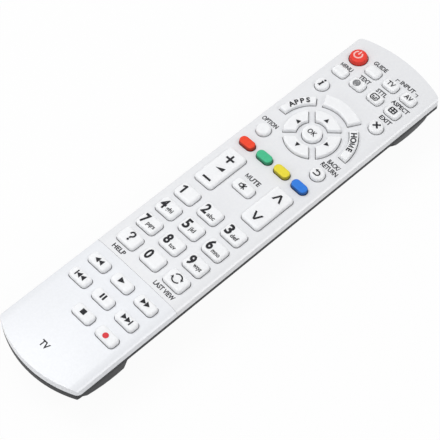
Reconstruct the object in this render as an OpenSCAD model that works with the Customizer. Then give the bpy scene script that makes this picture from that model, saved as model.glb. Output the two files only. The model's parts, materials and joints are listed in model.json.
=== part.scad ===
// Hand-held remote control for a television.
// A crowned pale front in two covers, a dark hull with two feet, sprung keys, two rocker keys,
// a ring of direction keys, and a battery bay with a tilting door.
// Frame: +X right, +Y away from the user, +Z up. The origin is under the middle, at the feet.
// All sizes are in millimetres and all angles in degrees.

/* [Body] */
// Length from end to end on the centre line
body_l = 233; // [226:1:250]
// Width from side to side
body_w = 52.4; // [51:0.1:60]
// Height of the crown of the face above the feet
body_h = 25; // [23.5:0.5:30]
// Drop of the face from its centre line to its shoulders
crown_drop = 0.55; // [0.3:0.05:0.8]
// Plan radius of the end nearest the user
near_end_r = 53; // [46:1:80]
// Plan radius of the far end
far_end_r = 80; // [60:1:110]
// Plan radius of the four corners
corner_r = 3; // [1:0.5:5]

/* [Front covers] */
// Thickness of the front at its crown
face_t = 2.6; // [2.4:0.1:3.2]
// Depth of the front's edge all round, below the crown
skirt_h = 3.7; // [3.4:0.1:4.2]
// Width of the rounded shoulder along each side of the face, to the side of the body
shoulder_w = 4.2; // [4:0.1:5]
// Radius of that shoulder
shoulder_r = 13; // [11:0.5:16]
// Width of the bevel between the shoulder and the side
bevel_w = 0.7; // [0.3:0.05:1]
// Height of that bevel
bevel_h = 0.45; // [0.3:0.05:0.6]
// Height of the front's sides, below the bevel
side_h = 2.8; // [2.4:0.1:3]
// How far the sides lean in over that height
side_lean = 0.4; // [0.1:0.05:0.6]
// How far the near end leans in over that height
end_lean = 0.2; // [0.1:0.05:0.4]
// Open seam between the two covers
seam_gap = 0.1; // [0.1:0.05:0.4]
// Reach of the lower cover's tongue under the upper cover
lap_l = 3; // [2:0.2:4]
// Thickness of that tongue
lap_t = 0.9; // [0.6:0.1:1.2]

/* [Back cover] */
// Wall of both covers
wall = 1.8; // [1.4:0.1:2.2]
// Height of the dark groove between the front and the back
groove_h = 0.4; // [0.2:0.05:0.8]
// Depth of that groove
groove_d = 0.5; // [0.2:0.1:0.8]
// Height of the upright band under the groove, along the sides and round the far end
band_h = 1.8; // [1.2:0.1:2.4]
// Height of that band round the near end
near_band_h = 3.2; // [2:0.1:4]
// Width of the belly between the feet, corner to corner
belly_w = 34; // [33:0.5:37]
// Radius of the belly's lower edges
belly_r = 4; // [2:0.5:4.5]
// Width of the feet where they stand
foot_w = 33; // [30:0.5:36]
// Plan radius of the feet's sides
foot_side_r = 90; // [70:5:200]
// Height of the widest part of a foot
foot_z = 11.3; // [9:0.1:13]
// Length of the near foot, from the near end
near_foot_l = 34.8; // [32:0.2:36]
// Lean of the near foot's inner end
near_foot_lean = 2.6; // [1:0.2:4]
// From that inner end to the place where the near foot is widest
near_foot_bulge = 8; // [5:0.5:12]
// How far that place lies in from the side of the body
near_foot_in = 1; // [0.8:0.1:2]
// Length of the far foot, from the far end
far_foot_l = 36; // [34:0.2:40]
// Lean of the far foot's inner end
far_foot_lean = 5.2; // [2:0.2:6]
// From that inner end to the place where the far foot is widest
far_foot_bulge = 12.5; // [8:0.5:15]
// How far that place lies in from the side of the body
far_foot_in = 1.5; // [0.8:0.1:2]
// Slope of the near end, from upright
near_rake = 46; // [35:1:47]
// Slope of the far end, from upright
far_rake = 44; // [35:1:47]
// Thickness of the cross ribs that carry the circuit board
rib_t = 1.4; // [1:0.1:2]

/* [Key rows] */
// From the far end to the power key
power_row = 14.5; // [14:0.1:16]
// From the far end to the first row of small keys
row_1 = 16; // [15:0.1:17]
// From the first to the second row of small keys
small_pitch = 10.7; // [9.5:0.1:12]
// From the second small row to the upper pair of round keys
upper_pair = 11.8; // [10:0.1:13]
// From the upper pair to the middle of the direction ring
ring_row = 24.2; // [23:0.1:26]
// From the middle of the ring to the lower pair of round keys
lower_pair = 14; // [13.5:0.1:16]
// From the lower pair to the coloured keys
colour_row = 10.9; // [9.5:0.1:13]
// From the coloured keys to the middle of the rockers
rocker_row = 18.4; // [17.5:0.1:20]
// From the rockers to the first row of numbers
number_row = 20.4; // [19:0.1:22]
// Pitch of the number rows
number_pitch = 11.4; // [10.6:0.1:12.2]
// From the last number row to the seam between the covers
seam_row = 9.9; // [9.4:0.1:10.4]
// From the seam to the first row of playback keys
play_row = 7.9; // [7.7:0.1:9]
// Pitch of the playback rows
play_pitch = 11; // [9:0.1:12]

/* [Key columns] */
// From the side of the body to the outer two of the three wide columns
wide_margin = 11.1; // [11:0.1:11.8]
// From the side of the body to the outer two of the four narrow columns
narrow_margin = 9.4; // [9.1:0.1:9.8]
// From the side of the body to the round pairs
pair_margin = 8.8; // [8.6:0.1:9.8]

/* [Keys] */
// Height of a key above the face
cap_h = 2.2; // [1.4:0.1:3]
// Rounding of the upper edge of the coloured keys and of the keys of the ring
cap_edge = 0.7; // [0.3:0.1:0.9]
// Rounding of the softer upper edge of the other keys
soft_edge = 1.2; // [0.6:0.1:1.4]
// Width of the number keys and the rockers
number_w = 11.1; // [10:0.1:11.8]
// Length of a number key
number_l = 8.1; // [7:0.1:8.6]
// Length of a playback key
play_l = 5.8; // [4.6:0.1:6.2]
// Length of a rocker
rocker_l = 23.4; // [21:0.1:24.5]
// Width of a small key
small_w = 7.8; // [7:0.1:8.4]
// Length of a small key
small_l = 5.5; // [4.2:0.1:6]
// Width of a coloured key
colour_w = 8.6; // [7:0.1:8.8]
// Length of a coloured key
colour_l = 4.6; // [4:0.1:5.6]
// Corner radius of the wide keys
wide_r = 1.9; // [1:0.1:2.2]
// Corner radius of the small keys
small_r = 1.8; // [1:0.1:2]
// Corner radius of the coloured keys
colour_r = 2.2; // [1:0.1:2.3]
// Radius of the round keys
round_r = 3.5; // [3:0.1:4]
// Radius of the power key at the face
power_r = 4.5; // [4:0.1:4.8]
// Height of the power key above the face
power_h = 2.4; // [2:0.1:3.2]
// How far its side leans in over that height
power_lean = 0.5; // [0.2:0.05:0.6]
// Rounding of its upper edge
power_edge = 0.9; // [0.6:0.1:1.2]
// Radius of the OK key
ok_r = 4.7; // [4:0.1:5]
// Inner radius of the direction keys
dir_in_r = 7.5; // [7.2:0.1:8]
// Outer radius of the direction keys
dir_out_r = 13.4; // [12.6:0.1:13.8]
// Width of the diagonal arms between the direction keys
arm_w = 3.3; // [2.8:0.1:4]
// Inner radius of the three curved keys
arc_in_r = 17.2; // [16.9:0.1:17.6]
// Outer radius of the two side curved keys
arc_out_r = 21.3; // [20.4:0.1:21.6]
// Outer radius of the top curved key
top_out_r = 23.4; // [21:0.1:24]
// Angle at which a side curved key ends, from the X axis
side_arc_a = 51; // [46:1:53]
// Angle at which the top curved key starts
top_arc_a = 62; // [60:1:70]

/* [Key works] */
// Clearance of every moving piece
gap = 0.3; // [0.25:0.05:0.4]
// Travel of a key
travel = 0.8; // [0.5:0.1:1]
// Width of a key's flange under the cover
flange_w = 0.8; // [0.7:0.05:0.9]
// Thickness of that flange
flange_t = 1.2; // [1.1:0.1:1.4]
// Diameter of a key's plunger
plunger_d = 3; // [2:0.1:3.6]
// Thickness of the rubber key sheet
sheet_t = 1; // [0.6:0.1:1.4]
// Thickness of the circuit board
board_t = 1.6; // [1:0.1:1.8]
// Width of the board and the key sheet
board_w = 42; // [40:0.5:43]
// Margin from each end of the body to the board
board_end = 12; // [11:0.5:16]

/* [Battery bay] */
// Diameter of a cell
cell_d = 10.5; // [9:0.1:10.8]
// Length of a cell, with its nub
cell_l = 44.5; // [40:0.1:46]
// Gap between the two cells
cell_gap = 1; // [0.6:0.1:1.4]
// Thickness of the contact plates
plate_t = 0.5; // [0.3:0.1:0.8]
// Length of a pressed contact spring
spring_l = 3.6; // [3:0.1:5]
// Wall of the bay and of its ceiling
bay_wall = 1.2; // [1:0.1:1.5]
// From the near foot to the bay door
door_start = 2.4; // [2:0.1:4]
// Thickness of the door
door_t = 1.6; // [1.2:0.1:1.7]
// Width of the ledge under the door's sides
door_ledge = 1.4; // [1:0.1:1.6]
// Width of each of the door's two hooks
hook_w = 5; // [3:0.5:6]
// Reach of the hooks past the door's end
hook_l = 1.8; // [1.2:0.1:2.2]
// Radius of the finger hollow at the door's free end
finger_r = 8; // [6:0.5:9]
// Number of grip ridges near the door's free end
ridge_count = 5; // [3:1:6]
// Width of a grip ridge
ridge_w = 14; // [10:1:20]
// Pitch of the grip ridges
ridge_pitch = 1.8; // [1.6:0.1:2.4]
// Height of a grip ridge
ridge_h = 0.4; // [0.2:0.1:0.6]

/* [Emitter] */
// Width of the window in the far end
window_w = 14; // [10:0.5:18]
// Height of that window
window_h = 5.4; // [4:0.1:6]
// Diameter of the emitter
emitter_d = 5; // [3:0.1:5]
// Length of the emitter
emitter_l = 8; // [6:0.1:9]

/* [Hidden] */
$fn = 48;
// Segments of the large arcs
BIG = 360;
// Overshoot of a cut
E = 1;
// A length beyond the whole body
FAR = 300;

shoulder_x = body_w / 2 - shoulder_w;
crown_r = (pow(shoulder_x, 2) + pow(crown_drop, 2)) / (2 * crown_drop);
near_y = -body_l / 2;
far_y = body_l / 2;
near_c = near_y + near_end_r;
far_c = far_y - far_end_r;

// Levels, from the face down
edge_z = face_z(body_w / 2);
skirt_z = edge_z - skirt_h;
ceiling_z = body_h - face_t;
rim_z = skirt_z - groove_h;
band_z = rim_z - band_h;
near_band_z = rim_z - near_band_h;
flange_z = ceiling_z - gap - flange_t;
sheet_z = flange_z - travel - gap - sheet_t;
board_z = sheet_z - board_t;
bay_z = board_z - gap - bay_wall;
cell_z = bay_z - gap - cell_d / 2;
belly_z = cell_z - cell_d / 2 - gap - door_t;
// The hull's sides lose this much width per millimetre of depth
side_slope = (body_w - belly_w) / 2 / (band_z - belly_z);

// Columns
wide_pitch = body_w / 2 - wide_margin;
narrow_pitch = (body_w / 2 - narrow_margin) / 1.5;
pair_x = body_w / 2 - pair_margin;

// Rows, from the far end to the near end
power_y = far_y - power_row;
small_1_y = far_y - row_1;
small_2_y = small_1_y - small_pitch;
upper_y = small_2_y - upper_pair;
ring_y = upper_y - ring_row;
lower_y = ring_y - lower_pair;
colour_y = lower_y - colour_row;
rocker_y = colour_y - rocker_row;
number_y = rocker_y - number_row;
seam_y = number_y - 3 * number_pitch - seam_row;
play_y = seam_y - play_row;

// Battery bay and door, with the hooks towards the near foot
foot_end = near_y + near_foot_l;
door_y0 = foot_end + door_start;
bay_y0 = door_y0 + bay_wall + hook_l;
bay_l = cell_l + spring_l + 2 * plate_t + 3 * gap;
bay_y1 = bay_y0 + bay_l;
door_y1 = bay_y1 + bay_wall;
cell_x = (cell_d + cell_gap) / 2;
bay_w = 2 * cell_x + cell_d + 2 * gap;
door_w = bay_w + 2 * door_ledge;
hook_x = bay_w / 4;
door_in_z = belly_z + door_t;

// Emitter and its window
emitter_z = board_z - gap - emitter_d / 2;
window_y = far_y - (band_z - emitter_z) * tan(far_rake);
emitter_y = window_y - (wall + gap + emitter_d / 2) / cos(far_rake);

pale = "#e9eaec";
white = "#f6f7f8";
dark = "#3b3d40";
black = "#222325";

// Every key: name, kind, x, y, colour, and for ring keys the middle angle
KEYS = [
  ["key_power", "power", -1.5 * narrow_pitch, power_y, "#e23a30"],
  ["key_guide", "small", -0.5 * narrow_pitch, small_1_y, white],
  ["key_tv", "small", 0.5 * narrow_pitch, small_1_y, white],
  ["key_av", "small", 1.5 * narrow_pitch, small_1_y, white],
  ["key_menu", "small", -1.5 * narrow_pitch, small_2_y, white],
  ["key_text", "small", -0.5 * narrow_pitch, small_2_y, white],
  ["key_subtitle", "small", 0.5 * narrow_pitch, small_2_y, white],
  ["key_aspect", "small", 1.5 * narrow_pitch, small_2_y, white],
  ["key_info", "round", -pair_x, upper_y, white],
  ["key_exit", "round", pair_x, upper_y, white],
  ["key_apps", "side_arc", 0, ring_y, white, 180 - side_arc_a / 2],
  ["key_top", "top_arc", 0, ring_y, white, 90],
  ["key_home", "side_arc", 0, ring_y, white, side_arc_a / 2],
  ["key_up", "direction", 0, ring_y, white, 90],
  ["key_right", "direction", 0, ring_y, white, 0],
  ["key_down", "direction", 0, ring_y, white, 270],
  ["key_left", "direction", 0, ring_y, white, 180],
  ["key_ok", "ok", 0, ring_y, white],
  ["key_option", "round", -pair_x, lower_y, white],
  ["key_back", "round", pair_x, lower_y, white],
  ["key_red", "colour", -1.5 * narrow_pitch, colour_y, "#f0503c"],
  ["key_green", "colour", -0.5 * narrow_pitch, colour_y, "#54c79a"],
  ["key_yellow", "colour", 0.5 * narrow_pitch, colour_y, "#ecdf42"],
  ["key_blue", "colour", 1.5 * narrow_pitch, colour_y, "#3f7fe0"],
  ["rocker_volume", "rocker", -wide_pitch, rocker_y, white],
  ["key_mute", "play", 0, rocker_y, white],
  ["rocker_channel", "rocker", wide_pitch, rocker_y, white],
  for (n = [1 : 9])
    [str("key_", n), "number", ((n - 1) % 3 - 1) * wide_pitch,
     number_y - floor((n - 1) / 3) * number_pitch, white],
  ["key_help", "number", -wide_pitch, number_y - 3 * number_pitch, white],
  ["key_0", "number", 0, number_y - 3 * number_pitch, white],
  ["key_last", "number", wide_pitch, number_y - 3 * number_pitch, white],
  ["key_rewind", "play", -wide_pitch, play_y, white],
  ["key_play", "play", 0, play_y, white],
  ["key_forward", "play", wide_pitch, play_y, white],
  ["key_previous", "play", -wide_pitch, play_y - play_pitch, white],
  ["key_pause", "play", 0, play_y - play_pitch, white],
  ["key_next", "play", wide_pitch, play_y - play_pitch, white],
  ["key_stop", "play", 0, play_y - 2 * play_pitch, white],
  ["key_record", "play", wide_pitch, play_y - 2 * play_pitch, white]
];

// Height of the face at a distance from the centre line, and its slope there
function face_z(x) = body_h - crown_r + sqrt(pow(crown_r, 2) - pow(x, 2));
function face_tilt(x) = asin(x / crown_r);

// Width, length and corner radius of each kind of oblong key
function oblong(kind) =
  kind == "number" ? [number_w, number_l, wide_r] :
  kind == "play" ? [number_w, play_l, wide_r] :
  kind == "rocker" ? [number_w, rocker_l, wide_r] :
  kind == "small" ? [small_w, small_l, small_r] :
  [colour_w, colour_l, colour_r];

// Radius of each kind of round key
function disc_r(kind) =
  kind == "power" ? power_r :
  kind == "ok" ? ok_r :
  round_r;

// Inner radius, outer radius, half angle and inset of each kind of ring key
function ring_of(kind) =
  kind == "direction" ? [dir_in_r, dir_out_r, 45, arm_w / 2] :
  kind == "top_arc" ? [arc_in_r, top_out_r, 90 - top_arc_a, 0] :
  [arc_in_r, arc_out_r, side_arc_a / 2, 0];

// Rounding of the upper edge of each kind of key, kept just inside the radius of its corners
function edge_of(kind) =
  kind == "colour" || kind == "ok" || is_ring(kind) ? cap_edge :
  kind == "round" ? soft_edge :
  min(soft_edge, oblong(kind)[2] - 0.1);

function is_disc(kind) = kind == "power" || kind == "ok" || kind == "round";
function is_ring(kind) = kind == "direction" || kind == "top_arc" || kind == "side_arc";

// Where the plungers of a key stand
function plungers(k) =
  is_ring(k[1]) ? let (r = (ring_of(k[1])[0] + ring_of(k[1])[1]) / 2)
    [[k[2] + r * cos(k[5]), k[3] + r * sin(k[5])]] :
  k[1] == "rocker" ? [for (s = [-1, 1]) [k[2], k[3] + s * rocker_l / 3]] :
  [[k[2], k[3]]];

// Solid below the crowned face, or below a face sunk by a depth
module under_crown(depth = 0) {
  translate([0, 0, body_h - crown_r])
    rotate([90, 0, 0])
      cylinder(r = crown_r - depth, h = FAR, center = true, $fn = 2 * BIG);
}

// Sliver that rounds one corner of the plan; s is -1 at the near end and 1 at the far end
module corner_sliver(s, half_w, end_r, end_c, r) {
  c = [half_w - r, end_c + s * sqrt(pow(end_r - r, 2) - pow(half_w - r, 2))];
  u = (c - [0, end_c]) / (end_r - r);
  difference() {
    polygon([c, c + [3 * r, 0], c + 3 * r * (u + [1, 0]), c + 3 * r * u]);
    translate(c) circle(r);
  }
}

// Outline of the body from above, drawn in by an inset
module plan(inset = 0) {
  half_w = body_w / 2 - inset;
  r = max(corner_r - inset, 0.5);
  difference() {
    union() {
      translate([-half_w, near_c]) square([2 * half_w, far_c - near_c]);
      intersection() {
        translate([0, near_c]) circle(near_end_r - inset, $fn = BIG);
        translate([-half_w, near_c - FAR]) square([2 * half_w, FAR]);
      }
      intersection() {
        translate([0, far_c]) circle(far_end_r - inset, $fn = BIG);
        translate([-half_w, far_c]) square([2 * half_w, FAR]);
      }
    }
    for (m = [0, 1]) mirror([m, 0]) {
      corner_sliver(-1, half_w, near_end_r - inset, near_c, r);
      corner_sliver(1, half_w, far_end_r - inset, far_c, r);
    }
  }
}

// Cross-section drawn in XZ, run along Y
module along_y(y0, y1) {
  translate([0, y1, 0]) rotate([90, 0, 0]) linear_extrude(y1 - y0) children();
}

// Oblong with round corners
module round_rect(w, l, r) {
  difference() {
    square([w, l], center = true);
    for (mx = [0, 1], my = [0, 1]) mirror([mx, 0]) mirror([0, my])
      translate([w / 2 - r, l / 2 - r])
        difference() {
          square(r + E);
          circle(r);
        }
  }
}

// Wedge about a direction, with its sides moved out by a distance
module wedge(middle, half, grow) {
  rotate(middle) translate([-grow / sin(half), 0])
    polygon([[0, 0], FAR * [cos(half), -sin(half)], FAR * [cos(half), sin(half)]]);
}

// Outline of a key, grown by a distance
module key_plan(k, grow = 0) {
  if (is_disc(k[1])) circle(disc_r(k[1]) + grow);
  else if (is_ring(k[1])) {
    q = ring_of(k[1]);
    intersection() {
      difference() {
        circle(q[1] + grow, $fn = 2 * $fn);
        circle(q[0] - grow, $fn = 2 * $fn);
      }
      wedge(k[5], q[2], grow - q[3]);
    }
  }
  else {
    q = oblong(k[1]);
    round_rect(q[0] + 2 * grow, q[1] + 2 * grow, q[2] + grow);
  }
}

// Height of the face under a key
function key_z(k) = face_z(plungers(k)[0].x);

// Places a key's cap square to the face, with z = 0 at the face; ring keys stay upright
module on_face(k) {
  translate([k[2], k[3], key_z(k)]) rotate([0, face_tilt(k[2]), 0]) children();
}

// Half section of a cap from the axis out, with its upper edge rounded
module cap_section(half, z0, z1, r) {
  difference() {
    translate([0, z0]) square([half, z1 - z0]);
    translate([half - r, z1 - r])
      difference() {
        square(r + E);
        circle(r);
      }
  }
}

// Oblong cap with round corners and a rounded upper edge
module oblong_cap(w, l, r, z0, z1, edge) {
  for (m = [0, 1]) mirror([0, m, 0]) translate([-w / 2 + r, 0, 0])
    rotate([90, 0, 90]) linear_extrude(w - 2 * r) cap_section(l / 2, z0, z1, edge);
  for (m = [0, 1]) mirror([m, 0, 0]) {
    translate([w / 2 - r, l / 2 - r, 0])
      rotate([90, 0, 0]) linear_extrude(l - 2 * r) cap_section(r, z0, z1, edge);
    for (n = [0, 1]) mirror([0, n, 0]) translate([w / 2 - r, l / 2 - r, 0])
      rotate_extrude(angle = 90) cap_section(r, z0, z1, edge);
  }
}

// Rounds the upper edge of one straight end of a ring key: s is 1 or -1 for its two ends.
// The circle stands a little high, so that it crosses the top at a slight angle.
module end_round(s, z1, edge) {
  high = 0.02;
  rotate([90, 0, 90]) linear_extrude(FAR) mirror([s > 0 ? 0 : 1, 0])
    translate([-edge, z1 - edge + high]) difference() {
      square(edge + E);
      circle(edge);
    }
}

// Ring cap cut to its wedge, with all its upper edges rounded
module ring_cap(k, z0, z1, edge) {
  q = ring_of(k[1]);
  difference() {
    intersection() {
      rotate(k[5] + 90) rotate_extrude($fn = 2 * $fn) difference() {
        translate([q[0], z0]) square([q[1] - q[0], z1 - z0]);
        for (s = [0, 1]) translate([s == 0 ? q[0] + edge : q[1] - edge, z1 - edge])
          mirror([1 - s, 0]) difference() {
            square(edge + E);
            circle(edge);
          }
      }
      translate([0, 0, z0 - E]) linear_extrude(z1 - z0 + 2 * E) wedge(k[5], q[2], -q[3]);
    }
    for (s = [-1, 1])
      rotate(k[5]) translate([q[3] / sin(q[2]), 0, 0]) rotate(s * q[2]) end_round(s, z1, edge);
  }
}

// Power key: a drum that leans in, with a rounded upper edge
module power_cap(z0) {
  // The edge's circle reaches just past the leaning side, and crosses it
  x = power_r - power_lean * (power_h - power_edge) / power_h + 0.02;
  rotate_extrude() difference() {
    polygon([[0, z0], [power_r, z0], [power_r, 0], [power_r - power_lean, power_h], [0, power_h]]);
    translate([x - power_edge, power_h - power_edge]) difference() {
      square(power_edge + E);
      circle(power_edge);
    }
  }
}

// One key: cap through the cover, flange below it as a stop, and plungers
module key(k) {
  kind = k[1];
  sink = key_z(k) - flange_z - flange_t / 2;
  color(k[4]) {
    if (kind == "power") on_face(k) power_cap(-sink);
    else if (is_disc(kind))
      on_face(k) rotate_extrude() cap_section(disc_r(kind), -sink, cap_h, edge_of(kind));
    else if (is_ring(kind)) on_face(k) ring_cap(k, -sink, cap_h, edge_of(kind));
    else {
      q = oblong(kind);
      on_face(k) oblong_cap(q[0], q[1], q[2], -sink, cap_h, edge_of(kind));
    }
    translate([k[2], k[3], flange_z]) linear_extrude(flange_t) {
      if (kind == "rocker") square([number_w + 2 * flange_w, 2 * flange_w], center = true);
      else key_plan(k, flange_w);
    }
    plunger_z = sheet_z + travel + gap;
    for (p = plungers(k)) translate([p[0], p[1], plunger_z])
      cylinder(d = plunger_d, h = flange_z + flange_t - plunger_z);
  }
}

// Cross-section of the front: crown, rounded shoulders, bevels, and sides that lean in
module face_section() {
  half_w = body_w / 2;
  top = half_w - side_lean;
  top_z = skirt_z + side_h;
  reach = 8;
  // The shoulder leaves the crown a little steeper than the crown itself
  start = face_tilt(shoulder_x) + 2;
  c = [shoulder_x - shoulder_r * sin(start), face_z(shoulder_x) - shoulder_r * cos(start)];
  difference() {
    intersection() {
      translate([0, body_h - crown_r]) circle(crown_r, $fn = 2 * BIG);
      polygon([
        [-half_w, 0], [half_w, 0], [half_w, skirt_z], [top, top_z],
        [top - reach * bevel_w, top_z + reach * bevel_h],
        [-top + reach * bevel_w, top_z + reach * bevel_h], [-top, top_z], [-half_w, skirt_z]]);
    }
    for (m = [0, 1]) mirror([m, 0]) difference() {
      translate([shoulder_x - 0.4, c.y]) square([shoulder_w + E, shoulder_r + E]);
      translate(c) circle(shoulder_r, $fn = BIG);
    }
  }
}

// Everything inside the near end of the front, which leans in
module leaning_end() {
  slope = end_lean / side_h;
  translate([0, near_c, 0]) rotate_extrude($fn = BIG) polygon([
    [0, 0], [near_end_r + slope * skirt_z, 0], [near_end_r - slope * (body_h + E - skirt_z), body_h + E],
    [0, body_h + E]]);
  translate([-FAR / 2, near_c, -E]) cube([FAR, FAR, FAR]);
}

// The whole crowned front with its key holes, before the seam splits it
module front() {
  difference() {
    intersection() {
      translate([0, 0, rim_z]) linear_extrude(body_h) plan();
      along_y(near_y - E, far_y + E) face_section();
      leaning_end();
    }
    under_crown(skirt_h);
    linear_extrude(ceiling_z) plan(wall);
    for (k = KEYS) on_face(k)
      translate([0, 0, -face_t - 2 * E]) linear_extrude(face_t + 4 * E) key_plan(k, gap);
  }
}

// Keeps what lies between two Y stations
module between(y0, y1) {
  intersection() {
    children();
    translate([-FAR / 2, y0, -E]) cube([FAR, y1 - y0, FAR]);
  }
}

module front_cover() {
  color(pale) between(seam_y + seam_gap / 2, FAR) front();
}

// The lower cover has a tongue that lies under the edge of the upper one
module lower_cover() {
  lap_w = body_w - 4 * wall;
  color(pale) {
    between(-FAR, seam_y - seam_gap / 2) front();
    translate([-lap_w / 2, seam_y - lap_l, ceiling_z - lap_t]) cube([lap_w, 2 * lap_l, lap_t]);
  }
}

// One end of the hull: upright down to a level, then raked in towards the feet
module raked_end(end_r, rake, upright_z, inset) {
  slope = tan(rake);
  skew = inset / cos(rake);
  turn_z = upright_z + (skew - inset) / slope;
  rotate_extrude($fn = BIG) polygon([
    [0, -E], [end_r - skew - slope * (upright_z + E), -E],
    [end_r - inset, turn_z], [end_r - inset, body_h], [0, body_h]]);
}

// Everything inside both raked ends
module within_ends(inset) {
  intersection() {
    children();
    union() {
      translate([0, near_c, 0]) raked_end(near_end_r, near_rake, near_band_z, inset);
      translate([-FAR / 2, near_c, -E]) cube([FAR, FAR, FAR]);
    }
    union() {
      translate([0, far_c, 0]) raked_end(far_end_r, far_rake, band_z, inset);
      translate([-FAR / 2, far_c - FAR, -E]) cube([FAR, FAR, FAR]);
    }
  }
}

// Cross-section of the hull between the feet; only its outer form has round lower edges
module belly_section(inset) {
  skew = inset * sqrt(1 + pow(side_slope, 2));
  top = body_w / 2 - inset;
  turn_z = band_z + (skew - inset) / side_slope;
  z0 = belly_z + inset;
  low = belly_w / 2 - skew + side_slope * inset;
  // The corner's circle touches the floor and the sloping side
  r = belly_r;
  lean = atan(side_slope);
  c = [low - r * tan((90 - lean) / 2), z0 + r];
  difference() {
    polygon([[-low, z0], [low, z0], [top, turn_z], [top, body_h], [-top, body_h], [-top, turn_z]]);
    if (inset == 0) for (m = [0, 1]) mirror([m, 0]) difference() {
      polygon([c, [c.x, z0 - E], [low + r, z0 - E], c + 2 * r * [cos(lean), -sin(lean)]]);
      translate(c) circle(r);
    }
  }
}

// Everything on one side of a foot: a section turned about an upright axis, widest at y
module foot_side(y, side_in, inset) {
  knee = body_w / 2 - side_in;
  axis = foot_side_r - knee;
  // The top stays inside the upright band
  top = body_w / 2 - 0.2;
  translate([-axis, y, 0]) rotate([0, 0, 180]) rotate_extrude($fn = 2 * BIG) polygon([
    [0, inset], [axis + foot_w / 2 - inset, inset], [axis + knee - inset, foot_z],
    [axis + top - inset, band_z], [axis + top - inset, band_z + E], [0, band_z + E]]);
}

// The foot at the far end, or with other sizes the near foot turned round; its inner end leans
module foot(y_end, lean, bulge, side_in, inset) {
  y = y_end + inset;
  intersection() {
    foot_side(y_end + bulge, side_in, inset);
    mirror([1, 0, 0]) foot_side(y_end + bulge, side_in, inset);
    rotate([90, 0, 90]) translate([0, 0, -FAR / 2]) linear_extrude(FAR) polygon([
      [y + lean, -E], [FAR, -E], [FAR, FAR], [y, FAR], [y, band_z], [y + lean, foot_z]]);
  }
}

// Outer form of the back cover, or its inside when drawn in by the wall
module hull_form(inset = 0) {
  intersection() {
    within_ends(inset) union() {
      along_y(near_y - E, far_y + E) belly_section(inset);
      foot(far_y - far_foot_l, far_foot_lean, far_foot_bulge, far_foot_in, inset);
      mirror([0, 1, 0]) foot(-foot_end, near_foot_lean, near_foot_bulge, near_foot_in, inset);
    }
    translate([0, 0, -E]) linear_extrude(body_h + 2 * E) plan(inset);
  }
}

// Cross rib that the circuit board rests on
module rib(y) {
  intersection() {
    hull_form(wall / 2);
    translate([-FAR / 2, y - rib_t / 2, 0]) cube([FAR, rib_t, board_z]);
  }
}

// Opening of the window in the far end
module window_hole(clear) {
  translate([0, far_y - FAR / 4, emitter_z]) rotate([-90, 0, 0])
    linear_extrude(FAR) round_rect(window_w + 2 * clear, window_h + 2 * clear, window_h / 4);
}

module back_cover() {
  bay_out = bay_w + 2 * door_ledge + 2 * bay_wall;
  color(dark) difference() {
    union() {
      difference() {
        union() {
          intersection() {
            hull_form();
            under_crown(skirt_h + groove_h);
          }
          intersection() {
            translate([0, 0, rim_z]) linear_extrude(body_h) plan(groove_d);
            under_crown(skirt_h);
          }
        }
        hull_form(wall);
      }
      // Walls and ceiling of the battery bay
      translate([-bay_out / 2, door_y0 - bay_wall, belly_z + wall / 2])
        cube([bay_out, door_y1 - door_y0 + 2 * bay_wall, bay_z + bay_wall - belly_z - wall / 2]);
      for (y = [near_y + board_end + 3 * rib_t, rocker_y, ring_y, upper_y]) rib(y);
    }
    // The bay itself, the seat of the door and the slots of its hooks
    translate([-bay_w / 2, bay_y0, 0]) cube([bay_w, bay_l, bay_z]);
    translate([-door_w / 2 - gap, door_y0 - gap, -E])
      cube([door_w + 2 * gap, door_y1 - door_y0 + 2 * gap, door_in_z + gap + E]);
    for (s = [-1, 1])
      translate([s * hook_x - hook_w / 2 - gap, door_y0 - hook_l - 2 * gap, belly_z + wall])
        cube([hook_w + 2 * gap, bay_y0 - door_y0 + hook_l + 3 * gap, hook_l + wall + 3 * gap]);
    // Finger hollow at the door's free end
    translate([0, door_y1, belly_z - finger_r + wall / 2]) sphere(finger_r);
    window_hole(gap / 2);
  }
}

// Door with two hooks at its near end, about which it tilts open
module battery_door() {
  color(dark) {
    translate([-door_w / 2, door_y0, belly_z]) cube([door_w, door_y1 - door_y0, door_t]);
    // Grip ridges, each half round
    for (i = [0 : ridge_count - 1])
      translate([-ridge_w / 2, door_y1 - finger_r - i * ridge_pitch, belly_z])
        rotate([0, 90, 0]) cylinder(r = ridge_h, h = ridge_w, $fn = 24);
    for (s = [-1, 1]) translate([s * hook_x - hook_w / 2, 0, 0]) {
      translate([0, door_y0, belly_z + door_t / 2])
        cube([hook_w, bay_wall, wall + gap + bay_wall - door_t / 2]);
      translate([0, door_y0 - hook_l, belly_z + wall + gap])
        cube([hook_w, hook_l + bay_wall, bay_wall]);
    }
  }
}

// Outline of the board and of the sheet on it
module board_plan() {
  y0 = near_y + board_end;
  y1 = far_y - board_end;
  translate([0, (y0 + y1) / 2]) round_rect(board_w, y1 - y0, corner_r);
}

module key_sheet() {
  color("#d4d6d8") translate([0, 0, sheet_z]) linear_extrude(sheet_t) difference() {
    board_plan();
    for (k = KEYS, p = plungers(k)) translate(p) circle(plunger_d / 2 + 2 * gap);
  }
}

module circuit_board() {
  color("#2f6b45") translate([0, 0, board_z]) linear_extrude(board_t) board_plan();
}

// One cell along Y: s is 1 with its nub towards +Y and -1 the other way
module cell(x, y0, s) {
  nub_l = 1.2;
  translate([x, s > 0 ? y0 : y0 + cell_l, cell_z]) rotate([-90 * s, 0, 0]) {
    cylinder(d = cell_d, h = cell_l - nub_l);
    cylinder(d = 0.36 * cell_d, h = cell_l);
  }
}

// The cells lie head to tail, each with its flat end on a spring
module cell_a() {
  color("#7d8690") cell(-cell_x, bay_y0 + plate_t + gap + spring_l + gap, 1);
}

module cell_b() {
  color("#7d8690") cell(cell_x, bay_y1 - plate_t - gap - spring_l - gap - cell_l, -1);
}

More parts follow.
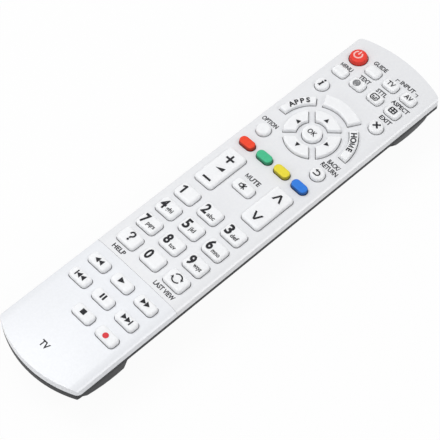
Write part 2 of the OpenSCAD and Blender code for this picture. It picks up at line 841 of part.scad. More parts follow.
// Contact plate on an end wall of the bay
module plate(x, y0) {
  side = 0.8 * cell_d;
  translate([x - side / 2, y0, cell_z - side / 2]) cube([side, plate_t, side]);
}

// Conical spring, pressed to its working length, with its wide turn on the plate
module spring(x, y, s) {
  wire = 0.9;
  turns = ceil(spring_l / (0.8 * wire));
  step = (spring_l - wire) / (turns - 1);
  translate([x, y, cell_z]) rotate([-90 * s, 0, 0])
    for (i = [0 : turns - 1]) translate([0, 0, wire / 2 + i * step]) rotate_extrude()
      translate([0.32 * cell_d - 0.1 * i, 0]) circle(d = wire, $fn = 24);
}

module spring_contacts() {
  color("silver") {
    plate(-cell_x, bay_y0 + gap / 3);
    spring(-cell_x, bay_y0 + gap / 3 + plate_t - 0.1, 1);
    plate(cell_x, bay_y1 - gap / 3 - plate_t);
    spring(cell_x, bay_y1 - gap / 3 - plate_t + 0.1, -1);
  }
}

module plate_contacts() {
  color("silver") {
    plate(cell_x, bay_y0 + gap / 3);
    plate(-cell_x, bay_y1 - gap / 3 - plate_t);
  }
}

// Emitter: a domed barrel on two legs that reach up to the board
module emitter() {
  r = emitter_d / 2;
  leg = 0.6;
  leg_y = emitter_y - emitter_l + r + leg;
  color("#b9b2c9") {
    translate([0, emitter_y, emitter_z]) sphere(r);
    translate([0, emitter_y - emitter_l + r, emitter_z]) rotate([-90, 0, 0])
      cylinder(r = r, h = emitter_l - r);
    for (s = [-1, 1]) translate([s * r / 2 - leg / 2, leg_y, emitter_z])
      cube([leg, leg, board_z - emitter_z]);
  }
}

module emitter_window() {
  color("#3a1518") intersection() {
    difference() {
      hull_form();
      hull_form(wall);
    }
    window_hole(0);
  }
}

front_cover();
lower_cover();
back_cover();
battery_door();
key_sheet();
circuit_board();
cell_a();
cell_b();
spring_contacts();
plate_contacts();
emitter();
emitter_window();
for (k = KEYS) key(k);
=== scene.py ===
# Looks of a hand-held remote control: materials, printed signs, floor, light and camera.
# The solids come from the frame. What is added here is ink on the keys and the covers.
import json
import math

import bmesh
import bpy
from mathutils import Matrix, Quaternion, Vector
from mathutils.bvhtree import BVHTree


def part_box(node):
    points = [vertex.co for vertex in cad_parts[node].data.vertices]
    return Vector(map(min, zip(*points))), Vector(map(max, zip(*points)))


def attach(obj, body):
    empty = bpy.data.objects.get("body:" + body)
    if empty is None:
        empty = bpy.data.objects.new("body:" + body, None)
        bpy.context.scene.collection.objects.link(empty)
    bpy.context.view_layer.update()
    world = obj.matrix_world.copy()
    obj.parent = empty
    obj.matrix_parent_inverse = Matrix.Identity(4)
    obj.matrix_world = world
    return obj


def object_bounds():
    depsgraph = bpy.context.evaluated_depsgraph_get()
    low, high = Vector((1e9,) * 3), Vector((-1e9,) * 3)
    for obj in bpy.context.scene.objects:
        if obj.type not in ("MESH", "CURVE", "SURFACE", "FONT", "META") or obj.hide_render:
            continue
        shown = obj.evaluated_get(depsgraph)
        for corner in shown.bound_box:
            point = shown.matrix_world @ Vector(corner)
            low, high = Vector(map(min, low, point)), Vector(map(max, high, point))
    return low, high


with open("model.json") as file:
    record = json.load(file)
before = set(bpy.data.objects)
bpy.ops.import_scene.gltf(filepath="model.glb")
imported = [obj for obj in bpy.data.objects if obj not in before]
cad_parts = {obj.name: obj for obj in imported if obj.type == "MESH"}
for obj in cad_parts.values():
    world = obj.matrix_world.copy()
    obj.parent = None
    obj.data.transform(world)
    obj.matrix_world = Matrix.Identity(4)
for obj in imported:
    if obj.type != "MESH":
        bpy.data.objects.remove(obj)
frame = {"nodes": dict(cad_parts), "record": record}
cad_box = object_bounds()

MM = 0.001
DOWN = Vector((0, 0, -1))
WHITE = (1, 1, 1, 1)
# Ink stands this far proud of the surface and reaches this far into it
INK_UP, INK_DOWN = 0.03 * MM, 0.02 * MM


def middle(name):
    """Middle of a node's plan, in millimetres."""
    low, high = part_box(name)
    return (low[0] + high[0]) / 2 / MM, (low[1] + high[1]) / 2 / MM


def linear(r, g, b):
    """Display colour, 0 to 255, as the linear colour that shaders use."""
    def one(v):
        v /= 255
        return v / 12.92 if v <= 0.04045 else ((v + 0.055) / 1.055) ** 2.4
    return (one(r), one(g), one(b), 1)


# Flat signs, in millimetres: a list of points and a list of faces

# Sides of a disc and of a dot, and steps in a round corner
DISC_SIDES, DOT_SIDES, CORNER_STEPS = 32, 20, 4


def shape(*points):
    return list(points), [list(range(len(points)))]


def both(*flats):
    """Several signs as one."""
    points, faces = [], []
    for p, f in flats:
        n = len(points)
        points = points + list(p)
        faces = faces + [[i + n for i in face] for face in f]
    return points, faces


def moved(flat, dx=0, dy=0, turn=0):
    """Sign turned by an angle in degrees and then moved."""
    c, s = math.cos(math.radians(turn)), math.sin(math.radians(turn))
    return [(c * x - s * y + dx, s * x + c * y + dy) for x, y in flat[0]], flat[1]


def flipped(flat):
    return [(-x, y) for x, y in flat[0]], [face[::-1] for face in flat[1]]


def twin(flat, gap):
    """Sign twice, side by side."""
    return both(moved(flat, -gap / 2), moved(flat, gap / 2))


def bar(w, h, x=0, y=0):
    x0, x1, y0, y1 = x - w / 2, x + w / 2, y - h / 2, y + h / 2
    return shape((x0, y0), (x1, y0), (x1, y1), (x0, y1))


def stroke(x0, y0, x1, y1, t):
    """Straight line of thickness t."""
    d = math.hypot(x1 - x0, y1 - y0)
    nx, ny = -(y1 - y0) / d * t / 2, (x1 - x0) / d * t / 2
    return shape((x0 + nx, y0 + ny), (x0 - nx, y0 - ny), (x1 - nx, y1 - ny), (x1 + nx, y1 + ny))


def plus(size, t):
    a, b = size / 2, t / 2
    return shape((-b, -a), (b, -a), (b, -b), (a, -b), (a, b), (b, b), (b, a), (-b, a), (-b, b), (-a, b),
                 (-a, -b), (-b, -b))


def disc(r, n=DISC_SIDES):
    angles = [2 * math.pi * i / n for i in range(n)]
    return shape(*[(r * math.cos(a), r * math.sin(a)) for a in angles])


def dot(r, x, y):
    return moved(disc(r, DOT_SIDES), x, y)


def band(r, t, a0, a1, n):
    """Part of a ring of middle radius r and thickness t, between two angles, as a strip of n quads."""
    points, faces = [], []
    for i in range(n + 1):
        a = math.radians(a0 + (a1 - a0) * i / n)
        points += [((r + t / 2) * math.cos(a), (r + t / 2) * math.sin(a)),
                   ((r - t / 2) * math.cos(a), (r - t / 2) * math.sin(a))]
    for i in range(n):
        faces.append([2 * i, 2 * i + 1, 2 * i + 3, 2 * i + 2])
    return points, faces


def frame_of(w, h, t, r):
    """Outline of an oblong with round corners of radius r, of thickness t."""
    points, faces = [], []
    for k, (sx, sy) in enumerate(((1, 1), (-1, 1), (-1, -1), (1, -1))):
        for i in range(CORNER_STEPS + 1):
            a = math.radians(90 * (k + i / CORNER_STEPS))
            for q in (r, r - t):
                points.append((sx * (w / 2 - r) + q * math.cos(a), sy * (h / 2 - r) + q * math.sin(a)))
    n = len(points) // 2
    for i in range(n):
        j = (i + 1) % n
        faces.append([2 * i, 2 * j, 2 * j + 1, 2 * i + 1])
    return points, faces


def arrow_head(w, h):
    """Triangle that points to +X."""
    return shape((-w / 2, -h / 2), (w / 2, 0), (-w / 2, h / 2))


# Type

# Steps in a curve of the type, and the digits kept when its doubled points are joined
TYPE_STEPS, TYPE_DIGITS = 3, 5


def type_outline(text, weight):
    """Filled outline of a text in the built-in type at size 1. weight makes it bolder."""
    curve = bpy.data.curves.new("words", "FONT")
    curve.body = text
    curve.offset = weight
    curve.resolution_u = TYPE_STEPS
    holder = bpy.data.objects.new("words", curve)
    bpy.context.scene.collection.objects.link(holder)
    mesh = bpy.data.meshes.new_from_object(holder.evaluated_get(bpy.context.evaluated_depsgraph_get()))
    bpy.data.objects.remove(holder)
    bpy.data.curves.remove(curve)
    where, index, points = {}, [], []
    for v in mesh.vertices:
        key = (round(v.co.x, TYPE_DIGITS), round(v.co.y, TYPE_DIGITS))
        if key not in where:
            where[key] = len(points)
            points.append(key)
        index.append(where[key])
    faces = []
    for p in mesh.polygons:
        face = [index[i] for i in p.vertices]
        if len(set(face)) == len(face):
            faces.append(face)
    bpy.data.meshes.remove(mesh)
    return points, faces


# Height of a capital in the type
TYPE_CAP = max(y for x, y in type_outline("H", 0)[0])
# Width and stem of the capital M that is drawn here, and the spaces beside it and between two words, as
# shares of the height of a capital
M_W, M_STEM, LETTER_GAP, WORD_GAP = 0.9, 0.13, 0.14, 0.16
# Weights of the words on the covers, the words on the ring, the digits, the small letters and the OK sign
PRINT_WEIGHT, RING_WEIGHT, DIGIT_WEIGHT, SMALL_WEIGHT, OK_WEIGHT = 0.028, 0.034, 0.036, 0.018, 0.022


def letters(text, cap, weight, width=None, centred=True):
    """Text whose capitals have the height cap. Its base line is y = 0 unless it is centred."""
    points, faces = type_outline(text, weight)
    sy = cap / TYPE_CAP
    left, right = min(x for x, y in points), max(x for x, y in points)
    sx = width / (right - left) if width else sy
    x0 = (left + right) / 2 if centred else left
    y0 = TYPE_CAP / 2 if centred else 0
    return [((x - x0) * sx, (y - y0) * sy) for x, y in points], faces


def capital_m(weight):
    """Capital M of height 1. The type's own M fills up when it is made bolder."""
    t, x = M_STEM + weight, M_W / 2
    return shape((0, 0), (t, 0), (t, 0.7), (x - 0.05, 0.02), (x + 0.05, 0.02), (M_W - t, 0.7), (M_W - t, 0),
                 (M_W, 0), (M_W, 1), (M_W - 0.16, 1), (x, 0.3), (0.16, 1), (0, 1))


def words(text, cap, weight, width=None):
    """Capitals in one line, centred."""
    flats, x = [], 0
    for word in text.split():
        x += WORD_GAP if x else 0
        for run in word.replace("M", " M ").split():
            x += LETTER_GAP if x else 0
            flat = capital_m(weight) if run == "M" else letters(run, 1, weight, centred=False)
            flats.append(moved(flat, x))
            x = max(q[0] for q in flats[-1][0])
    points, faces = both(*flats)
    sx = width / x if width else cap
    return [((q[0] - x / 2) * sx, (q[1] - 0.5) * cap) for q in points], faces


def round_words(text, cap, radius, angle, pitch):
    """Letters set upright on an arc, read clockwise, with the middle of the word at an angle."""
    flats = []
    for i, letter in enumerate(text):
        turn = angle + pitch * ((len(text) - 1) / 2 - i) - 90
        flats.append(moved(moved(words(letter, cap, RING_WEIGHT), 0, radius), 0, 0, turn))
    return both(*flats)


# Ink

RING_KEYS = {"key_apps", "key_top", "key_home", "key_up", "key_right", "key_down", "key_left", "key_ok"}


def inked(name, flat, place, body, paint):
    """Makes a flat sign into a thin closed piece. place(x, y, height) gives its points in the frame."""
    points, faces = flat
    n = len(points)
    verts = [place(x, y, INK_UP) for x, y in points] + [place(x, y, -INK_DOWN) for x, y in points]
    solid = [list(f) for f in faces] + [[i + n for i in reversed(f)] for f in faces]
    edges = dict.fromkeys((a, b) for f in faces for a, b in zip(f, f[1:] + f[:1]))
    solid += [[b, a, a + n, b + n] for a, b in edges if (b, a) not in edges]
    mesh = bpy.data.meshes.new(name)
    mesh.from_pydata(verts, [], solid)
    work = bmesh.new()
    work.from_mesh(mesh)
    bmesh.ops.recalc_face_normals(work, faces=work.faces)
    work.to_mesh(mesh)
    work.free()
    mesh.materials.append(paint)
    obj = bpy.data.objects.new(name, mesh)
    bpy.context.scene.collection.objects.link(obj)
    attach(obj, body)


def on_top(name, x0, y0):
    """Places a sign on a node's upper surface, with the sign's own middle at (x0, y0) millimetres.

    The ink stays within the height of the solids.
    """
    mesh = frame["nodes"][name].data
    solid = BVHTree.FromPolygons([v.co for v in mesh.vertices], [tuple(p.vertices) for p in mesh.polygons])
    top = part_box(name)[1][2] + MM

    def place(x, y, height):
        spot = Vector(((x0 + x) * MM, (y0 + y) * MM, top))
        level = solid.ray_cast(spot, DOWN)[0].z + height
        return Vector((spot.x, spot.y, min(level, cad_box[1][2])))
    return place


def on_key(name):
    """Places a sign on a key's top. The ring's keys share one middle."""
    return on_top(name, *middle("key_ok" if name in RING_KEYS else name))


# Materials

# Noise per metre and its detail: the soft cloud in the colour, and the fine grain in gloss and relief
CLOUD, CLOUD_DETAIL, FINE, FINE_DETAIL = 900.0, 4, 5000.0, 2
# Levels of the cloud at which it has the first and the second colour
CLOUD_FIRST, CLOUD_SECOND = 0.35, 0.68
# Levels of the grain that give the least and the most gloss, and how far that is from the mean
GRAIN_RANGE, GLOSS_SWING = (0.3, 0.7), 0.05
# Strength and depth of the relief
BUMP, BUMP_DEPTH = 0.15, 0.02 * MM
# Upward part of the normal at which a face counts as upright and as a top, for the painted shade on walls
WALL_SHADE_RANGE = (0.3, 0.9)


def noise(tree, scale, detail):
    """Noise in a piece's own coordinates."""
    place = tree.nodes.new("ShaderNodeTexCoord")
    texture = tree.nodes.new("ShaderNodeTexNoise")
    texture.inputs["Scale"].default_value = scale
    texture.inputs["Detail"].default_value = detail
    tree.links.new(place.outputs["Object"], texture.inputs["Vector"])
    return texture.outputs["Fac"]


def spread(tree, value, start, end):
    """Maps a value from the range start to the range end."""
    node = tree.nodes.new("ShaderNodeMapRange")
    node.inputs["From Min"].default_value = start[0]
    node.inputs["From Max"].default_value = start[1]
    node.inputs["To Min"].default_value = end[0]
    node.inputs["To Max"].default_value = end[1]
    tree.links.new(value, node.inputs["Value"])
    return node.outputs["Result"]


def darker_walls(tree, tone, wall):
    """Painted shade: upright faces keep only a share of the colour, so that they look darker than the tops.
    """
    facing = tree.nodes.new("ShaderNodeSeparateXYZ")
    tree.links.new(tree.nodes.new("ShaderNodeNewGeometry").outputs["Normal"], facing.inputs[0])
    shade = tree.nodes.new("ShaderNodeVectorMath")
    shade.operation = "SCALE"
    tree.links.new(tone, shade.inputs[0])
    tree.links.new(spread(tree, facing.outputs["Z"], WALL_SHADE_RANGE, (wall, 1)), shade.inputs["Scale"])
    return shade.outputs["Vector"]


def painted(name, colour, other, rough, cloud=CLOUD, bump=BUMP, crevice=0.0, wall=1.0, **sockets):
    """Moulded surface: two close colours mixed by a soft cloud, with fine grain in gloss and relief.

    Where a reach for the gap shade is set, shade is painted into the colour within that distance of a gap.
    Upright faces keep only a share of the colour, as painted shade on the walls.
    """
    mat = bpy.data.materials.new(name)
    mat.use_nodes = True
    tree = mat.node_tree
    nodes, links = tree.nodes, tree.links
    shader = nodes["Principled BSDF"]
    ramp = nodes.new("ShaderNodeValToRGB")
    ramp.color_ramp.elements[0].position = CLOUD_FIRST
    ramp.color_ramp.elements[0].color = colour
    ramp.color_ramp.elements[1].position = CLOUD_SECOND
    ramp.color_ramp.elements[1].color = other
    links.new(noise(tree, cloud, CLOUD_DETAIL), ramp.inputs["Fac"])
    tone = ramp.outputs["Color"]
    # Painted shade on the walls
    if wall < 1:
        tone = darker_walls(tree, tone, wall)
    # Painted shade in the gaps, by ambient occlusion
    if crevice:
        gap_shade = nodes.new("ShaderNodeAmbientOcclusion")
        gap_shade.inputs["Distance"].default_value = crevice
        links.new(tone, gap_shade.inputs["Color"])
        tone = gap_shade.outputs["Color"]
    links.new(tone, shader.inputs["Base Color"])
    grain = noise(tree, FINE, FINE_DETAIL)
    gloss = spread(tree, grain, GRAIN_RANGE, (rough - GLOSS_SWING, rough + GLOSS_SWING))
    links.new(gloss, shader.inputs["Roughness"])
    relief = nodes.new("ShaderNodeBump")
    relief.inputs["Strength"].default_value = bump
    relief.inputs["Distance"].default_value = BUMP_DEPTH
    links.new(grain, relief.inputs["Height"])
    links.new(relief.outputs["Normal"], shader.inputs["Normal"])
    for socket, value in sockets.items():
        shader.inputs[socket.replace("_", " ")].default_value = value
    return mat


# Weaker reflection, for inks, coloured rubber and the hull
DULL = {"Specular_IOR_Level": 0.2}
# Reach of the painted shade in the gaps round the keys, on pale and on coloured pieces
GAP_SHADE_PALE, GAP_SHADE_DEEP = 0.45 * MM, 0.9 * MM
# Coloured rubber, with painted shade that makes its walls darker than its top, and painted shade in its
# gaps
RUBBER = {"crevice": GAP_SHADE_DEEP, "wall": 0.5, **DULL}
# Thin gloss over the covers
COAT = {"Coat_Weight": 0.6, "Coat_Roughness": 0.18}
# White rubber lets a little light through
SOFT = {"Subsurface_Weight": 0.7, "Subsurface_Scale": 1.0 * MM, "Subsurface_Radius": (1, 1, 1)}
# Material of each slot of the record, and of a node where it has one of its own
looks = {
    # The covers and the white keys have painted shade in the gaps round the keys
    "cover": painted("satin_pale", linear(229, 230, 233), linear(232, 233, 235), 0.4, crevice=GAP_SHADE_PALE,
                     **COAT),
    "lower_cover": painted("satin_lower", linear(230, 232, 236), linear(233, 235, 239), 0.4,
                           crevice=GAP_SHADE_PALE, **COAT),
    "back": painted("matt_dark", linear(42, 43, 45), linear(49, 50, 52), 0.5, bump=0.3, **DULL),
    "key": painted("key_white", linear(240, 241, 243), linear(243, 244, 246), 0.5, crevice=GAP_SHADE_PALE,
                   **SOFT),
    # The red key has painted shade on its walls and in the gap round it
    "key_power": painted("key_power_red", linear(234, 64, 53), linear(238, 71, 60), 0.4, crevice=GAP_SHADE_DEEP,
                         wall=0.85, **DULL),
    "key_red": painted("key_red", linear(238, 70, 43), linear(242, 78, 51), 0.5, **RUBBER),
    "key_green": painted("key_green", linear(70, 186, 137), linear(77, 192, 144), 0.5, **RUBBER),
    "key_yellow": painted("key_yellow", linear(231, 215, 58), linear(236, 221, 66), 0.5, **RUBBER),
    "key_blue": painted("key_blue", linear(48, 122, 219), linear(56, 129, 225), 0.5, **RUBBER),
    "sheet": painted("rubber_sheet", linear(200, 202, 205), linear(208, 210, 212), 0.7),
    "board": painted("solder_mask", linear(36, 88, 56), linear(44, 98, 64), 0.35, cloud=300.0),
    "cell": painted("cell_sleeve", linear(96, 104, 112), linear(108, 116, 124), 0.3, Metallic=0.7),
    "contact": painted("plated_steel", linear(196, 196, 198), linear(210, 210, 212), 0.3, Metallic=1.0),
    "emitter": painted("tinted_resin", linear(160, 152, 178), linear(168, 160, 186), 0.1),
    "window": painted("dark_window", linear(34, 10, 12), linear(42, 14, 16), 0.08),
}
dark_ink = painted("dark_ink", linear(34, 34, 38), linear(42, 42, 46), 0.6, **DULL)
grey_ink = painted("grey_ink", linear(120, 121, 124), linear(130, 131, 134), 0.6, **DULL)
pink_ink = painted("pale_ink", linear(246, 190, 184), linear(250, 200, 194), 0.5, **DULL)
red_ink = painted("red_ink", linear(216, 60, 66), linear(222, 68, 74), 0.6, **DULL)

for part in frame["record"]["subparts"]:
    obj = frame["nodes"][part["node"]]
    paint = looks.get(part["node"], looks[part["material_slot"]])
    obj.data.materials.clear()
    obj.data.materials.append(paint)


# Signs on the keys, drawn about each key's middle

# Power: an open ring with a bar in its opening
POWER_T = 0.75
power_sign = both(band(2.0, POWER_T, 122, 418, 36), bar(POWER_T, 2.3, 0, 1.3))

# Information: a leaning i
info_sign = both(
    dot(0.58, 0.15, 1.95),
    shape((-1.2, -2.05), (0.4, -2.05), (0.45, -1.5), (0.1, -1.5), (0.55, 0.95), (-0.85, 0.95),
          (-0.9, 0.45), (-0.45, 0.45), (-0.85, -1.5), (-1.15, -1.5)))

# Text: lines in a ring, each with its width and its level
TEXT_LINES = ((2.4, 0.85), (3.0, 0.28), (3.0, -0.28), (2.4, -0.85))
text_sign = both(band(1.65, 0.5, 0, 360, 32), *[bar(w, 0.42, 0, y) for w, y in TEXT_LINES])

# Subtitle: a screen with two short lines above a long one
short_line = bar(1.1, 0.55, 0, 0.1)
subtitle_sign = both(frame_of(4.3, 3.6, 0.5, 1.1), twin(short_line, 1.7), bar(2.3, 0.5, 0, -0.8))

# Aspect: a screen in four parts
ASPECT_T = 0.6
aspect_sign = both(frame_of(3.9, 3.3, ASPECT_T, 0.7), bar(ASPECT_T, 2.6), bar(3.2, ASPECT_T))

# Back: a line that turns round and ends in an arrow head
BACK_R, BACK_T, BACK_X, BACK_Y = 1.15, 0.6, 0.3, -0.2
back_low, back_high = BACK_Y - BACK_R, BACK_Y + BACK_R
back_sign = both(
    moved(band(BACK_R, BACK_T, -90, 90, 16), BACK_X, BACK_Y),
    stroke(-1.5, back_low, BACK_X, back_low, BACK_T),
    stroke(-0.6, back_high, BACK_X, back_high, BACK_T),
    moved(arrow_head(1.3, 1.7), -1.15, back_high, 180))

# Mute: the outline of a speaker, crossed out
SPEAKER = [(-1.9, -0.75), (-1.0, -0.75), (0.3, -1.6), (0.3, 1.6), (-1.0, 0.75), (-1.9, 0.75)]
mute_sign = both(*[stroke(*a, *b, 0.45) for a, b in zip(SPEAKER, SPEAKER[1:] + SPEAKER[:1])],
                 moved(plus(3.4, 0.55), 0.3, 0, 45))

# Volume: plus, a rising wedge and minus. Channel: up and down
volume_wedge = moved(shape((-2.2, -1.1), (2.2, -1.1), (2.2, 1.1)), 0.5, -0.5)
volume_sign = both(moved(plus(4.9, 1.0), 0.1, 5.85), volume_wedge, bar(4.8, 1.05, 0.1, -8.75))
chevron = shape((-2.5, -2.05), (-1.45, -2.05), (0, 0.95), (1.45, -2.05), (2.5, -2.05), (0.5, 2.05),
                (-0.5, 2.05))
channel_sign = both(moved(chevron, 0.35, 6.75), moved(chevron, 0.35, -7.0, 180))

# Help: a question mark
HELP_T = 0.85
help_sign = both(moved(band(1.2, HELP_T, 190, -50, 20), 0, 1.1), bar(HELP_T, 1.0, 0.05, -0.65),
                 stroke(0.75, 0.2, 0.05, -0.4, HELP_T), dot(0.58, 0.05, -1.95))

# Last: two arrows that chase each other round a ring
LAST_R = 2.25
last_arrow = both(band(LAST_R, 0.6, 22, 150, 18), moved(arrow_head(1.3, 1.55), LAST_R, 0.35, -82))
last_sign = both(last_arrow, moved(last_arrow, 0, 0, 180))

# Playback: double heads, and double heads against a bar
FAST_W, PLAY_H = 2.4, 2.9
fast_sign = twin(arrow_head(FAST_W, PLAY_H), FAST_W)
skip_sign = both(moved(fast_sign, -0.3), bar(0.6, PLAY_H, FAST_W))
pause_sign = twin(bar(0.95, PLAY_H), 1.6)

# Directions: a head at some distance from the ring's middle
direction = arrow_head(2.3, 2.4)

# Digits stand left of the middle, and the small letters stand on one line to their right
DIGIT_X, DIGIT_Y, DIGIT_H, DIGIT_W = -2.7, 0.1, 4.8, 3.1
SMALL_X, SMALL_Y, SMALL_H = -0.3, -2.5, 2.1
ONE = shape((-0.1, -2.4), (0.9, -2.4), (0.9, 2.4), (0.15, 2.4), (-1.45, 1.5), (-1.2, 0.7), (-0.1, 1.2))
# Cap height and width of the two input signs
INPUT_H, INPUT_W = 2.4, 4.1
# Cap height and radius of the words on the ring
RING_H, RING_R = 2.6, 19.2


def digit(n, small="", width=None):
    """A digit, with small letters of the given width."""
    figure = ONE if n == 1 else letters(str(n), DIGIT_H, DIGIT_WEIGHT, DIGIT_W)
    flats = [moved(figure, DIGIT_X, DIGIT_Y)]
    if small:
        word = letters(small, SMALL_H, SMALL_WEIGHT, width, centred=False)
        flats.append(moved(word, SMALL_X, SMALL_Y - min(y for x, y in word[0])))
    return both(*flats)


# Sign of each key, moved where the print stands off the key's middle or, on the ring, off the ring's middle
signs = {
    "key_power": moved(power_sign, -0.55, 0.2),
    "key_tv": letters("TV", INPUT_H, SMALL_WEIGHT, INPUT_W),
    "key_av": letters("AV", INPUT_H, SMALL_WEIGHT, INPUT_W),
    "key_text": moved(text_sign, -0.4, -0.4),
    "key_subtitle": moved(subtitle_sign, 0, -0.3),
    "key_aspect": aspect_sign,
    "key_info": info_sign,
    "key_exit": moved(plus(3.9, 0.85), 0, 0.4, 45),
    "key_apps": round_words("APPS", RING_H, RING_R, 152.5, 8.1),
    "key_home": round_words("HOME", RING_H, RING_R, 29, 8.7),
    "key_up": moved(direction, 0, 9.9, 90),
    "key_down": moved(direction, 0, -9.9, 270),
    "key_left": moved(direction, -9.3, 0, 180),
    "key_right": moved(direction, 9.6, 0),
    "key_ok": letters("OK", 2.5, OK_WEIGHT, 4.7),
    "key_back": moved(back_sign, -0.1, -0.15),
    "rocker_volume": volume_sign,
    "key_mute": moved(mute_sign, -0.3, -0.3),
    "rocker_channel": channel_sign,
    "key_help": moved(help_sign, 0, 0.5),
    "key_0": digit(0),
    "key_last": moved(last_sign, -0.1, 0.45),
    "key_rewind": moved(flipped(fast_sign), -0.1, 0),
    "key_play": moved(arrow_head(3.1, 3.0), -0.3, 0.15),
    "key_forward": moved(fast_sign, -0.05, 0.1),
    "key_previous": moved(flipped(skip_sign), 0, 0.2),
    "key_pause": moved(pause_sign, 0, 0.2),
    "key_next": moved(skip_sign, 0.15, 0.2),
    "key_stop": moved(bar(2.5, 2.5), -0.25, 0.2),
    "key_record": moved(disc(1.4), -0.2, -0.5),
}
# Small letters beside the digits, and their width
small_words = {2: ("abc", 4.4), 3: ("def", 4.1), 4: ("ghi", 3.7), 5: ("jkl", 3.1), 6: ("mno", 4.6),
               7: ("pqrs", 4.5), 8: ("tuv", 3.7), 9: ("wxyz", 4.5)}
for n in range(1, 10):
    signs[f"key_{n}"] = digit(n, *small_words.get(n, ()))
sign_ink = {"key_power": pink_ink, "key_text": grey_ink, "key_record": red_ink}
for name, flat in signs.items():
    inked("sign_" + name, flat, on_key(name), name, sign_ink.get(name, dark_ink))

# Words printed on the covers: text, the key they belong to, their place from its middle, cap height, width
printed = [
    ("GUIDE", "key_guide", -0.2, 5.35, 2.2, 8.0),
    ("INPUT", "key_tv", 5.7, 5.6, 2.2, 8.4),
    ("MENU", "key_menu", -0.2, 4.5, 2.2, 7.0),
    ("TEXT", "key_text", 0, 4.9, 2.2, 6.5),
    ("STTL", "key_subtitle", -0.3, 4.9, 2.2, 6.0),
    ("ASPECT", "key_aspect", 0, 5.3, 2.2, 10.3),
    ("EXIT", "key_exit", -0.1, 6.6, 2.2, 6.7),
    ("OPTION", "key_option", -1.5, 5.7, 2.2, 9.5),
    ("BACK/", "key_back", 1.3, 9.4, 2.2, 6.9),
    ("RETURN", "key_back", 1.4, 6.3, 2.2, 9.5),
    ("MUTE", "key_mute", -0.6, 6.4, 2.3, 8.6),
    ("HELP", "key_help", 0.3, -6.9, 2.2, 7.5),
    ("LAST VIEW", "key_last", -0.6, -6.8, 2.2, 12.3),
    ("TV", "key_stop", -0.5, -21.4, 2.9, 4.7),
]
for word, key, dx, dy, cap, width in printed:
    key_x, key_y = middle(key)
    cover = "lower_cover" if word == "TV" else "front_cover"
    name = "print_" + word.strip("/").lower().replace(" ", "_") + ("_mark" if word == "TV" else "")
    flat = words(word, cap, PRINT_WEIGHT, width)
    inked(name, flat, on_top(cover, key_x + dx, key_y + dy), "body", dark_ink)
# A bracket ties the word above the two input keys to both
BRACKET_X, BRACKET_Y = 5.7, 5.1
tv_x, tv_y = middle("key_tv")
bracket = shape((-6.7, -1.1), (-6.35, -1.1), (-6.35, 0.25), (-4.9, 0.25), (-4.9, 0.6), (-6.7, 0.6))
on_bracket = on_top("front_cover", tv_x + BRACKET_X, tv_y + BRACKET_Y)
inked("print_bracket", both(bracket, flipped(bracket)), on_bracket, "body", dark_ink)


# Floor, light and camera

# Half the floor's width, and its level just under the feet
FLOOR_W, FLOOR_Z = 3, -0.05 * MM
# Grey of the floor as lit, and the share of plain white in what the camera sees of it
FLOOR_GREY, FLOOR_SHARE = 0.85, 0.95
# Strength of the even light from all sides
AMBIENT = 0.5


def soft_white(tree, lit, share):
    """Mixes in plain white for what the camera and mirrors see, and leaves the rest to the lit shader."""
    nodes, links = tree.nodes, tree.links
    path = nodes.new("ShaderNodeLightPath")
    seen = path.outputs["Is Camera Ray"]
    for ray in ("Is Glossy Ray", "Is Transmission Ray"):
        either = nodes.new("ShaderNodeMath")
        either.operation = "MAXIMUM"
        links.new(seen, either.inputs[0])
        links.new(path.outputs[ray], either.inputs[1])
        seen = either.outputs[0]
    part = nodes.new("ShaderNodeMath")
    part.operation = "MULTIPLY"
    part.inputs[1].default_value = share
    links.new(seen, part.inputs[0])
    white = nodes.new("ShaderNodeEmission" if share < 1 else "ShaderNodeBackground")
    white.inputs["Color"].default_value = WHITE
    white.inputs["Strength"].default_value = 1
    mix = nodes.new("ShaderNodeMixShader")
    links.new(part.outputs[0], mix.inputs["Fac"])
    links.new(lit.outputs[0], mix.inputs[1])
    links.new(white.outputs[0], mix.inputs[2])
    return mix


corners = [(x * FLOOR_W, y * FLOOR_W, FLOOR_Z) for x, y in ((-1, -1), (1, -1), (1, 1), (-1, 1))]
floor_mesh = bpy.data.meshes.new("floor")
floor_mesh.from_pydata(corners, [], [(0, 1, 2, 3)])
floor = bpy.data.objects.new("floor", floor_mesh)
bpy.context.scene.collection.objects.link(floor)
floor_mat = bpy.data.materials.new("floor_white")
floor_mat.use_nodes = True
tree = floor_mat.node_tree
lit = tree.nodes.new("ShaderNodeBsdfDiffuse")
lit.inputs["Color"].default_value = (FLOOR_GREY, FLOOR_GREY, FLOOR_GREY, 1)
# The floor is clear from below, so that the underside can be seen
sides = tree.nodes.new("ShaderNodeMixShader")
tree.links.new(tree.nodes.new("ShaderNodeNewGeometry").outputs["Backfacing"], sides.inputs["Fac"])
tree.links.new(soft_white(tree, lit, FLOOR_SHARE).outputs[0], sides.inputs[1])
tree.links.new(tree.nodes.new("ShaderNodeBsdfTransparent").outputs[0], sides.inputs[2])
tree.links.new(sides.outputs[0], tree.nodes["Material Output"].inputs["Surface"])
floor_mesh.materials.append(floor_mat)

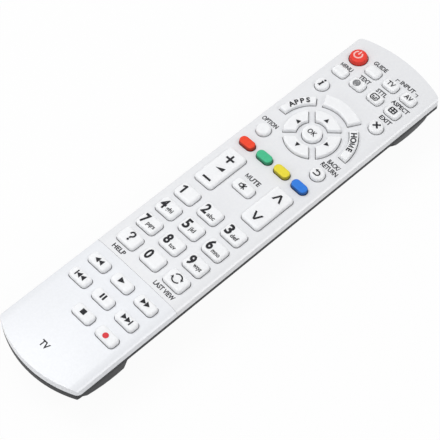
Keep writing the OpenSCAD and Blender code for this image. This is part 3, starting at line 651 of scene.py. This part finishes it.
world = bpy.data.worlds.new("studio")
bpy.context.scene.world = world
world.use_nodes = True
tree = world.node_tree
ambient = tree.nodes["Background"]
ambient.inputs["Color"].default_value = WHITE
ambient.inputs["Strength"].default_value = AMBIENT
tree.links.new(soft_white(tree, ambient, 1).outputs[0], tree.nodes["World Output"].inputs["Surface"])


def lamp(name, spot, target, size, watts, height=None):
    """Round lamp, or an oblong one where its height is given too."""
    data = bpy.data.lights.new(name, "AREA")
    data.shape = "RECTANGLE" if height else "DISK"
    data.size = size
    if height:
        data.size_y = height
    data.energy = watts
    obj = bpy.data.objects.new(name, data)
    obj.location = spot
    obj.rotation_euler = (Vector(target) - Vector(spot)).to_track_quat("-Z", "Y").to_euler()
    bpy.context.scene.collection.objects.link(obj)


lamp("key_lamp", spot=(-0.30, -0.12, 0.75), target=(0, -0.03, 0.02), size=0.5, watts=2.7)
lamp("side_lamp", spot=(0.6, 0.36, 0.73), target=(0, 0.36, 0.02), size=0.65, watts=1.7, height=0.12)
lamp("front_lamp", spot=(-0.1, -0.75, 0.35), target=(0, 0, 0.02), size=0.5, watts=0.7)

# Camera: focal length for a sensor width, both in millimetres, and its place round the point it looks at
LENS, SENSOR, NEAREST = 128.93, 36, 10 * MM
AZIMUTH, ELEVATION, ROLL = math.radians(47.864), math.radians(56.458), math.radians(-1.348)
DISTANCE = 698.43 * MM
target = Vector((4.792, -8.667, 25.0)) * MM
camera_data = bpy.data.cameras.new("camera")
camera_data.sensor_fit = "HORIZONTAL"
camera_data.sensor_width = SENSOR
camera_data.lens = LENS
camera_data.clip_start = NEAREST
camera = bpy.data.objects.new("camera", camera_data)
camera.location = target + DISTANCE * Vector((
    math.sin(AZIMUTH) * math.cos(ELEVATION), -math.cos(AZIMUTH) * math.cos(ELEVATION), math.sin(ELEVATION)))
aim = (target - camera.location).to_track_quat("-Z", "Y")
camera.rotation_euler = (aim @ Quaternion((0, 0, 1), ROLL)).to_euler()
bpy.context.scene.collection.objects.link(camera)
bpy.context.scene.camera = camera
bpy.context.scene.view_settings.view_transform = "Standard"
